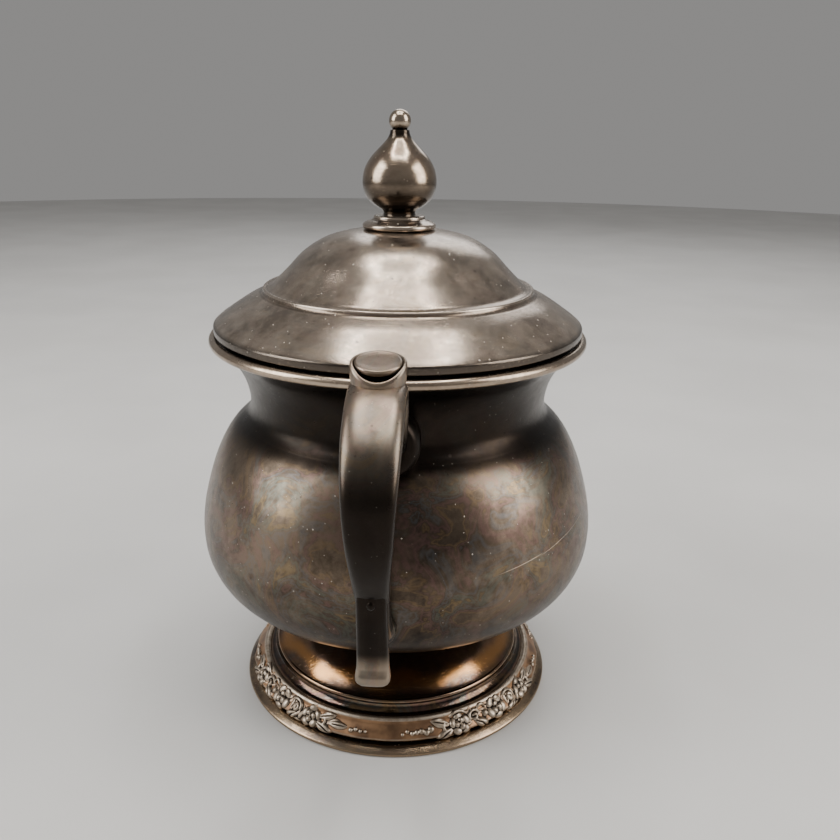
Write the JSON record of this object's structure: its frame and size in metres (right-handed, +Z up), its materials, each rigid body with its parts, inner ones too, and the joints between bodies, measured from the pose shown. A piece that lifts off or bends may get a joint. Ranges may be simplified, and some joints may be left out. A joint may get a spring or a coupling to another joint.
{
  "type": "covered sugar bowl",
  "caption": "Pot-bellied silver-plated sugar bowl on a stepped foot with rose garlands, two scroll handles and a loose domed lid with an onion knob.",
  "frame": {"origin": "centre of the foot's underside, on the surface the bowl stands on", "axes": "+Z up along the bowl's axis, the handles along -Y and +Y"},
  "size_m": [0.113, 0.1636, 0.165],
  "materials": {
    "tarnished_silver": "dark warm tarnish over a polished plate, glossy in the neck and satin on the belly",
    "worn_silver": "edges and relief worn to a warm coppery metal, dark in the hollows",
    "dusty_silver": "satin, dusty, speckled, with fine scratches",
    "handle_silver": "cast and polished, grey-tan on top and darker lower down",
    "bronzed_silver": "glossy bronze-brown tarnish",
    "plain_brass": "plain turned brass"
  },
  "bodies": {
    "bowl": {"bowl_shell": "tarnished_silver", "rim_bead": "worn_silver", "foot_shell": "tarnished_silver", "foot_border": "worn_silver", "foot_base_ring": "worn_silver", "front_handle_strap": "handle_silver", "front_thumb_rest": "handle_silver", "front_spur": "handle_silver", "front_upper_boss": "handle_silver", "front_lower_boss": "handle_silver", "rear_handle_strap": "handle_silver", "rear_thumb_rest": "handle_silver", "rear_spur": "handle_silver", "rear_upper_boss": "handle_silver", "rear_lower_boss": "handle_silver"},
    "lid": {"lid_shell": "dusty_silver", "lid_bezel": "dusty_silver", "finial_collar": "bronzed_silver", "finial": "bronzed_silver", "finial_stud": "plain_brass", "finial_washer": "plain_brass", "finial_nut": "plain_brass"}
  },
  "joints": [
    {"name": "lid_lift", "type": "slide", "parent": "bowl", "child": "lid", "axis": [0, 0, 1], "range_m": [0, 0.06]}
  ]
}
